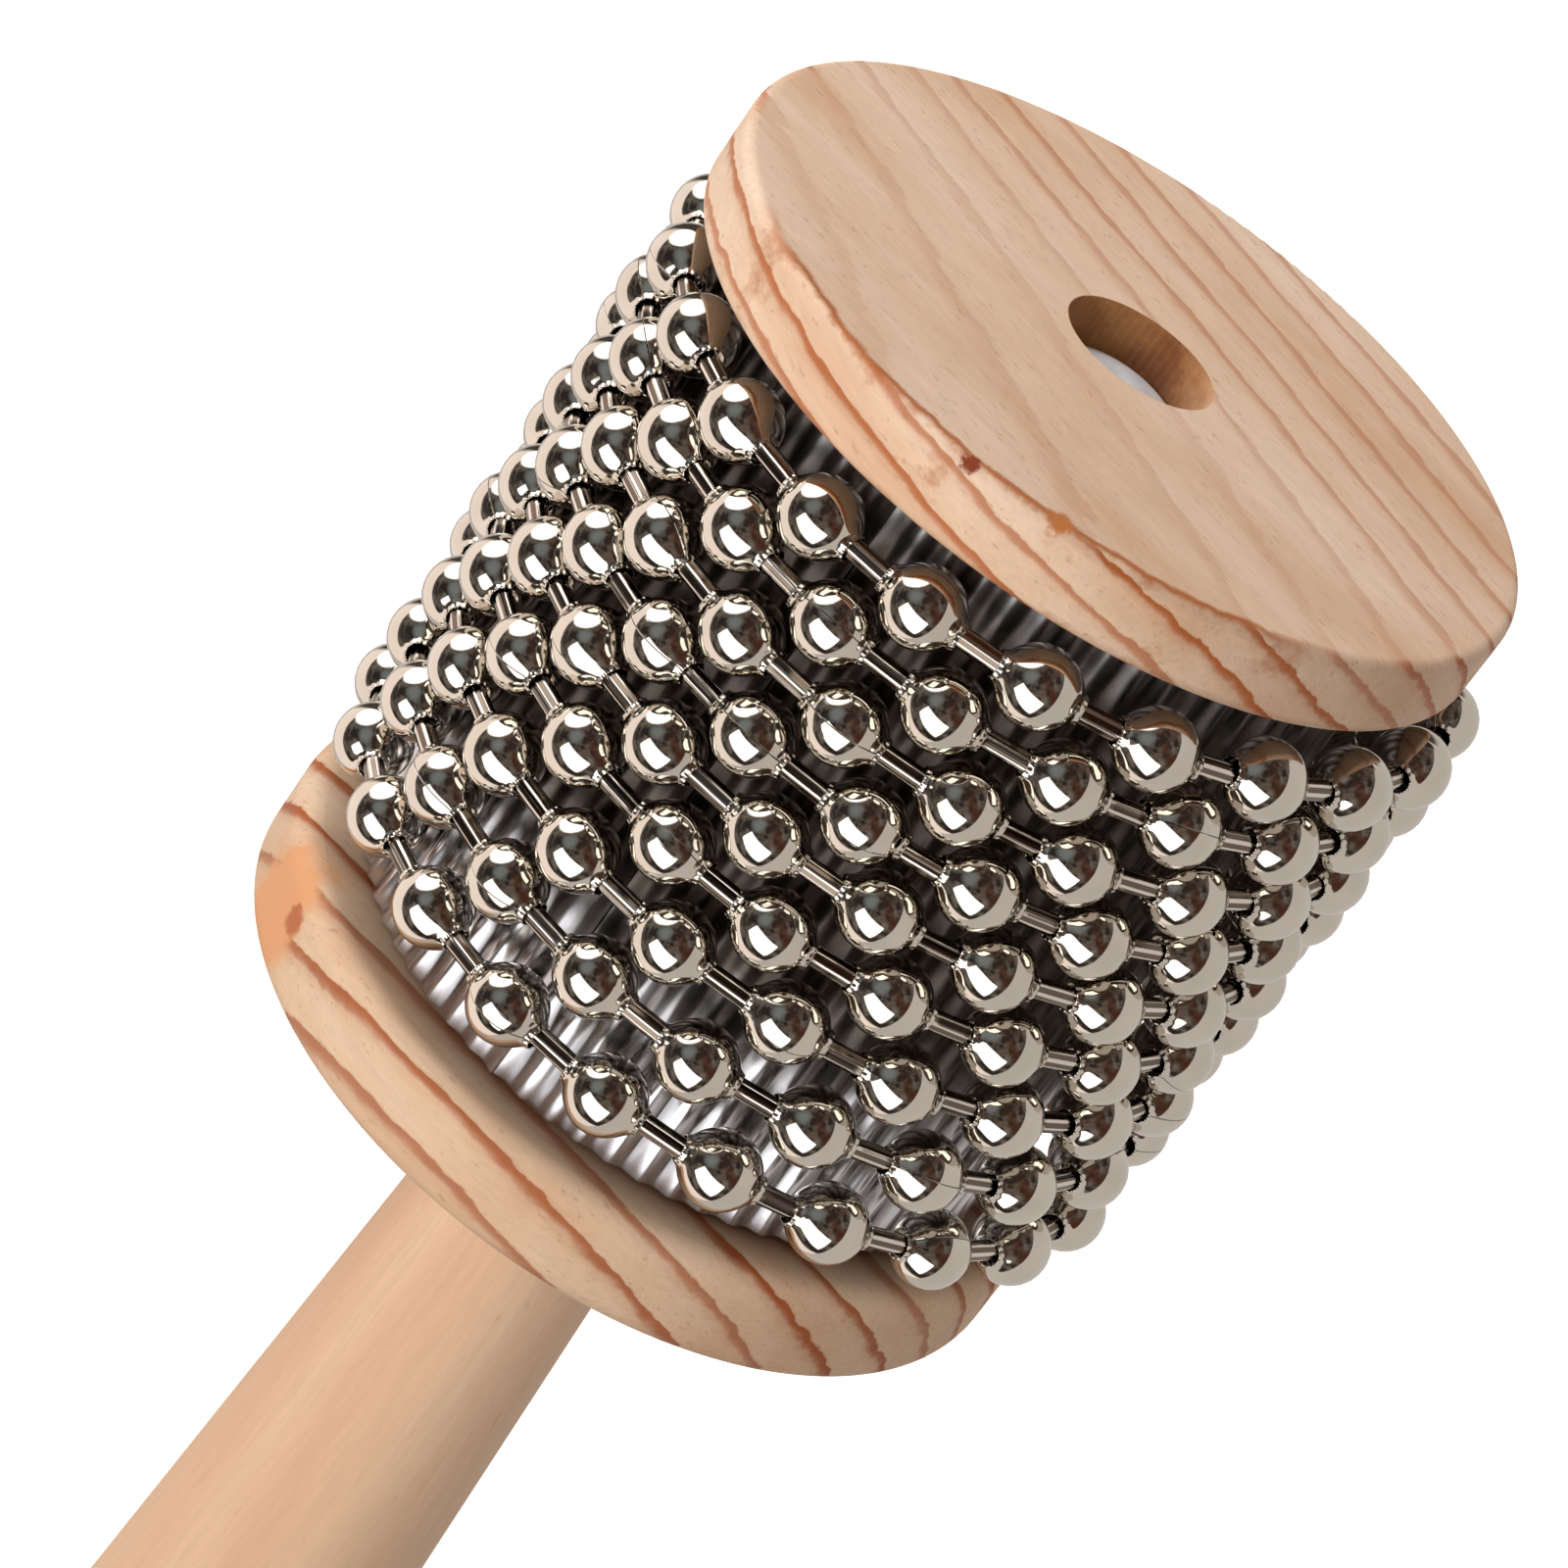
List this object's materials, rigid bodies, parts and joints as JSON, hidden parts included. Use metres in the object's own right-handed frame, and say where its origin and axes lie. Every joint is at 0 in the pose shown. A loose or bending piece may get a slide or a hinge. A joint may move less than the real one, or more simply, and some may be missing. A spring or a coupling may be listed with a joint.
{
  "type": "cabasa",
  "caption": "Cabasa shaker: wooden handle, drum with a fluted metal sleeve between two pine discs, and loose turning chains of hollow steel beads.",
  "frame": {"origin": "centre of the handle's flat end, on which the part stands", "axes": "+Z along the handle and drum axis, from the handle's flat end to the outer disc; -Y towards the side that the picture shows"},
  "size_m": [0.0856, 0.0855, 0.194],
  "materials": {
    "grip_wood": "fine sanded pale wood, bare",
    "inner_pine": "sanded pine with strong orange-brown rings",
    "outer_pine": "sanded pine with fine rings",
    "core_wood": "plain turned wood",
    "sleeve_sheet": "bright fluted sheet",
    "bolt_zinc": "bright zinc plate",
    "insert_brass": "machined",
    "bead_nickel": "polished nickel plate on pressed steel",
    "link_steel": "nickel plate, rolled"
  },
  "bodies": {
    "drum_and_handle": {"handle": "grip_wood", "insert_nut": "insert_brass", "inner_disc": "inner_pine", "core": "core_wood", "sleeve": "sleeve_sheet", "outer_disc": "outer_pine", "connector_bolt": "bolt_zinc"},
    "chain_1": {"beads_1": "bead_nickel", "links_1": "link_steel"},
    "chain_2": {"beads_2": "bead_nickel", "links_2": "link_steel"},
    "chain_3": {"beads_3": "bead_nickel", "links_3": "link_steel"},
    "chain_4": {"beads_4": "bead_nickel", "links_4": "link_steel"},
    "chain_5": {"beads_5": "bead_nickel", "links_5": "link_steel"},
    "chain_6": {"beads_6": "bead_nickel", "links_6": "link_steel"},
    "chain_7": {"beads_7": "bead_nickel", "links_7": "link_steel"},
    "chain_8": {"beads_8": "bead_nickel", "links_8": "link_steel"},
    "chain_9": {"beads_9": "bead_nickel", "links_9": "link_steel"}
  },
  "joints": [
    {"name": "chain_1_turn", "type": "hinge", "parent": "drum_and_handle", "child": "chain_1", "pos_m": [0.00158, 0.00123, 0.17965], "axis": [0.0041, 0.0032, 1], "continuous": true},
    {"name": "chain_2_turn", "type": "hinge", "parent": "drum_and_handle", "child": "chain_2", "pos_m": [0.00158, 0.00123, 0.17309], "axis": [0.0053, 0.0041, 1], "continuous": true},
    {"name": "chain_3_turn", "type": "hinge", "parent": "drum_and_handle", "child": "chain_3", "pos_m": [0.00158, 0.00123, 0.16653], "axis": [0.0076, 0.0059, 1], "continuous": true},
    {"name": "chain_4_turn", "type": "hinge", "parent": "drum_and_handle", "child": "chain_4", "pos_m": [0.00158, 0.00123, 0.15996], "axis": [0.0107, 0.0084, 0.9999], "continuous": true},
    {"name": "chain_5_turn", "type": "hinge", "parent": "drum_and_handle", "child": "chain_5", "pos_m": [0.00158, 0.00123, 0.1534], "axis": [0.0146, 0.0114, 0.9998], "continuous": true},
    {"name": "chain_6_turn", "type": "hinge", "parent": "drum_and_handle", "child": "chain_6", "pos_m": [0.00158, 0.00123, 0.14658], "axis": [0.019, 0.0149, 0.9997], "continuous": true},
    {"name": "chain_7_turn", "type": "hinge", "parent": "drum_and_handle", "child": "chain_7", "pos_m": [0.00158, 0.00123, 0.13922], "axis": [0.0241, 0.0188, 0.9995], "continuous": true},
    {"name": "chain_8_turn", "type": "hinge", "parent": "drum_and_handle", "child": "chain_8", "pos_m": [0.00158, 0.00123, 0.13135], "axis": [0.0297, 0.0232, 0.9993], "continuous": true},
    {"name": "chain_9_turn", "type": "hinge", "parent": "drum_and_handle", "child": "chain_9", "pos_m": [0.00158, 0.00123, 0.12295], "axis": [0.0357, 0.0279, 0.999], "continuous": true}
  ],
  "couplings": [
    {"joint": "chain_1_turn", "follows": "chain_5_turn", "ratio": 1},
    {"joint": "chain_2_turn", "follows": "chain_5_turn", "ratio": 1},
    {"joint": "chain_3_turn", "follows": "chain_5_turn", "ratio": 1},
    {"joint": "chain_4_turn", "follows": "chain_5_turn", "ratio": 1},
    {"joint": "chain_6_turn", "follows": "chain_5_turn", "ratio": 1},
    {"joint": "chain_7_turn", "follows": "chain_5_turn", "ratio": 1},
    {"joint": "chain_8_turn", "follows": "chain_5_turn", "ratio": 1},
    {"joint": "chain_9_turn", "follows": "chain_5_turn", "ratio": 1}
  ]
}
